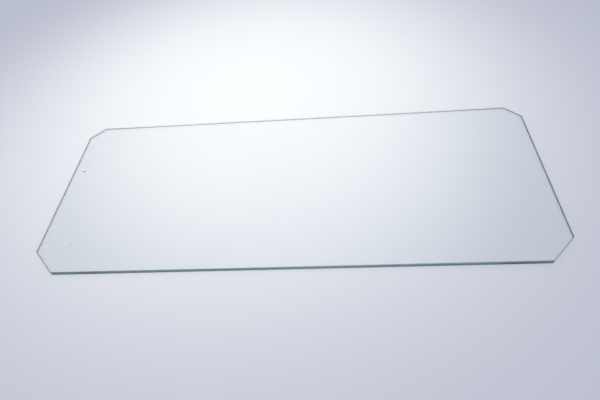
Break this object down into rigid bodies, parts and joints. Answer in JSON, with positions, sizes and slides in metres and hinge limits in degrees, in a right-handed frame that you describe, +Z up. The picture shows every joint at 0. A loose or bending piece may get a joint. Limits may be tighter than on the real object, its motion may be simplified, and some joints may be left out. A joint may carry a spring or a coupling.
{
  "type": "refrigerator glass shelf",
  "caption": "Flat clear glass refrigerator shelf with corners cut at 45 degrees, larger at the front, and flat ground edges with a seamed arris; it lies loose on the cabinet's ledges.",
  "frame": {"origin": "middle of the underside, where the pane rests", "axes": "+X to the right along the front edge, +Y to the back of the cabinet, +Z up; the front edge is the one between the larger corner cuts"},
  "size_m": [0.44, 0.178, 0.004],
  "materials": {
    "clear_glass": "clear toughened float glass, polished faces, flat ground edges"
  },
  "bodies": {
    "root": {"glass_pane": "clear_glass"}
  },
  "joints": []
}
